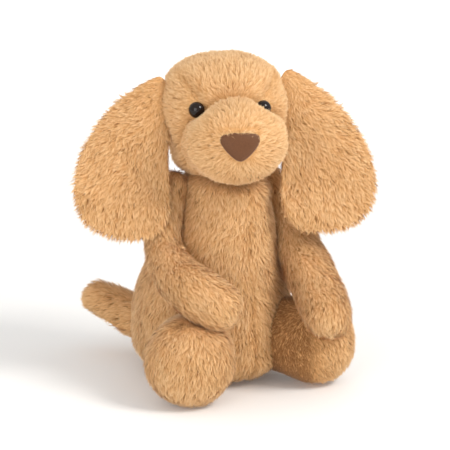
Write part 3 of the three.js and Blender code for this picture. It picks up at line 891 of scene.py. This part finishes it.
def belly_seam_shade(p, n):
    """Painted shade along the belly seam's groove, broken into dashes where the pile is caught in the
    stitches here and there.
    """
    caught = smooth(FLECKS(p) * 2 + 1.0)
    return 0.8 * caught * fade(beside_seam(p), 1.8) * (p[:, 1] < -10)


def thigh_shade(p, n):
    """Painted shade over the left leg's inner side, the side that faces the torso under the arm."""
    inner = -0.86 * n[:, 0] + 0.51 * n[:, 1]
    return 0.95 * smooth((inner + 0.55) / 0.8) * smooth((70 - p[:, 2]) / 10)


def face_shade(p, n):
    """Painted shade round the eyes, in the brow tucks and behind the muzzle's seam."""
    by_eyes = 0.6 * fade(near_eyes(p) - EYE_RADIUS, 2.4)
    by_tucks = 0.6 * fade(tuck_distance(row_to_head(p)), 2.6)
    by_muzzle = 0.65 * fade(clearance(p, others("muzzle")), 3.0)
    return np.maximum(np.maximum(by_eyes, by_tucks), by_muzzle)


def tuck_shade(p, n):
    """Where the right paw is tucked against its leg."""
    return 0.95 * fade(line_distance(p, TUCK_LINE), TUCK_WIDTH)


def arm_shade(p, n):
    """The left arm's crease below the ear, and the end of its paw's seam."""
    return 0.9 * fade(np.minimum(*[line_distance(p, line) for line in ARM_CREASES]), ARM_CREASE_WIDTH)


# ---------------------------------------------------------------- the pile of each piece
BODY_PILE = steady(5.8)
TAIL_PILE = steady(6.4)
around_torso = others("skull", "muzzle", "arm_right", "arm_left", "leg_right", "leg_left", "tail")
grow("torso_pile", torso, "torso", down_torso, BODY_PILE, 21, around_torso,
     keep=off_floor, crease=belly_seam_shade)
# The head's and the muzzle's pile are given lighter tones than the body's, a painted highlight of the
# brightly lit face.
grow("head_pile", skull, "head", over_head, head_length, 23, others("muzzle", "torso"),
     keep=clear_of_eyes, spacing=1.3, crease=face_shade, shade=0.74)
grow("muzzle_pile", muzzle, "head", from_nose, muzzle_length, 24, others("skull"),
     keep=clear_of_face, spacing=1.2, shade=0.66)
grow("tail_pile", tail, "tail", along_limb, TAIL_PILE, 25, others("torso"))
for number, side in enumerate(SIGNS):
    grow("arm_pile_" + side, arms[side], "arm_" + side, along_limb, BODY_PILE, 31 + number,
         others("torso"), crease=arm_shade if side == "left" else None)
    grow("leg_pile_" + side, legs[side], "leg_" + side, from_parting(side), BODY_PILE, 41 + number,
         others("torso", "arm_" + side), keep=off_floor, crease=thigh_shade if side == "left" else tuck_shade)
    grow("ear_pile_" + side, ears[side], "ear_" + side, ear_comb, ear_length(side), 51 + number,
         others("skull"))


# ---------------------------------------------------------------- eyes and nose
def lathe(name, profile, sides, material):
    """A turned form about +Z from (radius, height) pairs, in millimetres."""
    turn = np.arange(sides) / sides * 2 * np.pi
    profile = np.asarray(profile, float)
    ring = np.stack([np.cos(turn), np.sin(turn)], axis=1)
    points = [(0, 0, profile[0, 1])]
    for radius, height in profile[1:-1]:
        points += [(radius * c, radius * s, height) for c, s in ring]
    points.append((0, 0, profile[-1, 1]))
    rows = len(profile) - 2
    following = [(s + 1) % sides for s in range(sides)]
    faces = [(0, 1 + following[s], 1 + s) for s in range(sides)]
    for r in range(rows - 1):
        a = 1 + r * sides
        b = a + sides
        faces += [(a + s, a + following[s], b + following[s], b + s) for s in range(sides)]
    low, end = 1 + (rows - 1) * sides, len(points) - 1
    faces += [(end, low + s, low + following[s]) for s in range(sides)]
    mesh = bpy.data.meshes.new(name)
    mesh.from_pydata([tuple(np.array(p) * MM) for p in points], [], faces)
    mesh.validate()
    mesh.shade_smooth()
    mesh.materials.append(material)
    made = bpy.data.objects.new(name, mesh)
    bpy.context.scene.collection.objects.link(made)
    return made


def eye_material():
    material, _, _, shader = new_material("eye_gloss", 0.07)
    shader.inputs["Base Color"].default_value = (0.012, 0.006, 0.004, 1)
    shader.inputs["Specular IOR Level"].default_value = 0.3
    return material


def eye_profile():
    """A domed face, a thick body behind it and a stem into the head."""
    dome = [(EYE_RADIUS * math.sin(a), EYE_HEIGHT * math.cos(a)) for a in np.linspace(0.1, 1.5, 14)]
    body = [(EYE_RADIUS + 0.25, 0.1), (EYE_RADIUS + 0.3, -0.6), (EYE_RADIUS, -2.2), (EYE_RADIUS - 1.2, -3.4)]
    stem = [(1.9, -4), (1.9, -9), (0, -9)]
    return [(0, EYE_HEIGHT), *dome, *body, *stem]


def eye(side, material):
    """A glossy safety eye, which looks forwards and a little outwards."""
    made = lathe("eye_dome_" + side, eye_profile(), 48, material)
    facing = head_turned(np.array([SIGNS[side] * 14.0, -40.0, 6.0]))
    made.rotation_mode = "QUATERNION"
    made.rotation_quaternion = Vector(facing).to_track_quat("Z", "Y")
    made.location = Vector(head_to_row(EYE_PLACE[side]) * MM)
    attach(made, "head")
    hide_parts("eye_" + side)


NOSE_RINGS = [  # share of the outline, and height over the muzzle
    (0.0, 2.6), (0.2, 2.58), (0.4, 2.5), (0.6, 2.35), (0.75, 2.15),
    (0.87, 1.85), (0.95, 1.4), (1.0, 0.7), (1.0, -0.5),
]
NOSE_FRONT = -140  # where the rays that find the muzzle's surface start


def nose_skin():
    """A low padded patch that follows the muzzle, rounded down to it at its rim."""
    left_half = [(-x, z) for x, z in reversed(NOSE_OUTLINE[1:-1])]
    outline = closed_catmull(NOSE_OUTLINE + left_half, 72)
    rows = []
    for share, height in NOSE_RINGS:
        row = []
        for x, z in outline * max(share, 1e-4):
            start = Vector((x, NOSE_FRONT, NOSE_HEIGHT + z))
            hit, normal, _, _ = nose_ground.ray_cast(start, Vector((0, 1, 0)))
            row.append(np.array(hit + normal * height))
        rows.append(row)
    back = [p + [0, 3, 0] for p in rows[-1]]
    middle = np.mean(back, axis=0)
    rows.append([middle + (p - middle) * 0.01 for p in back])
    grid = head_to_row(np.array(rows))
    return Skin(grid, np.zeros_like(grid))


def suede_material():
    """Brown suede with a fine nap."""
    material, nodes, links, shader = new_material("nose_suede", 0.55, 0.35, (1.0, 0.75, 0.6))
    noise = mottle(nodes, links, shader, 1500, 4, SUEDE_RAMP)
    bump = nodes.new("ShaderNodeBump")
    bump.inputs["Strength"].default_value = 0.15
    bump.inputs["Distance"].default_value = 0.0003
    links.new(noise.outputs["Fac"], bump.inputs["Height"])
    links.new(bump.outputs["Normal"], shader.inputs["Normal"])
    return material


eye_gloss = eye_material()
for side in SIGNS:
    eye(side, eye_gloss)
nose = nose_skin().object("nose_suede", suede_material())
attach(nose, "head")
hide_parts("nose_patch")


# ---------------------------------------------------------------- floor, light and camera
def floor_material():
    """A white sheet that glows a little, and more with the distance, so that it runs out into white."""
    material, nodes, links, shader = new_material("floor", 0.6)
    shader.inputs["Base Color"].default_value = (0.92, 0.91, 0.89, 1)
    shader.inputs["Emission Color"].default_value = (1, 1, 1, 1)
    position = nodes.new("ShaderNodeNewGeometry")
    distance = nodes.new("ShaderNodeVectorMath")
    distance.operation = "LENGTH"
    glow = nodes.new("ShaderNodeMapRange")
    glow.interpolation_type = "SMOOTHSTEP"
    glow.inputs["From Min"].default_value = 0.35
    glow.inputs["From Max"].default_value = 1.6
    glow.inputs["To Min"].default_value = 0.06
    glow.inputs["To Max"].default_value = 0.35
    links.new(position.outputs["Position"], distance.inputs[0])
    links.new(distance.outputs["Value"], glow.inputs["Value"])
    links.new(glow.outputs["Result"], shader.inputs["Emission Strength"])
    return material


def floor_sheet(half):
    """A square sheet, whose half side is given in metres."""
    corners = [(-half, -half, 0), (half, -half, 0), (half, half, 0), (-half, half, 0)]
    mesh = bpy.data.meshes.new("floor")
    mesh.from_pydata(corners, [], [(0, 1, 2, 3)])
    mesh.materials.append(floor_material())
    made = bpy.data.objects.new("floor", mesh)
    bpy.context.scene.collection.objects.link(made)


def studio(strength):
    """Even white light from all round."""
    world = bpy.data.worlds.new("studio")
    bpy.context.scene.world = world
    world.use_nodes = True
    background = world.node_tree.nodes["Background"]
    background.inputs["Color"].default_value = (1, 1, 1, 1)
    background.inputs["Strength"].default_value = strength


def aim(made, place, target):
    """Puts a light or camera at a place, in metres, and points it at a target."""
    made.location = place
    made.rotation_mode = "QUATERNION"
    made.rotation_quaternion = (Vector(target) - Vector(place)).to_track_quat("-Z", "Y")
    bpy.context.scene.collection.objects.link(made)


def area_light(name, place, size, power, color=(1, 1, 1)):
    data = bpy.data.lights.new(name, "AREA")
    data.size = size
    data.energy = power
    data.color = color
    aim(bpy.data.objects.new(name, data), place, (0, 0, 0.1))


floor_sheet(6)
studio(0.76)
area_light("key", (0.85, -1.8, 1.9), 0.9, 44, (1.0, 0.985, 0.96))
area_light("fill", (-1.7, -1.2, 0.7), 1.2, 14)
camera = bpy.data.objects.new("camera", bpy.data.cameras.new("camera"))
camera.data.sensor_width = 36
camera.data.lens = 171.4
aim(camera, (-0.7468, -1.2564, 0.4445), (0.006, -0.0036, 0.107))
bpy.context.scene.camera = camera
bpy.context.scene.view_settings.view_transform = "Standard"
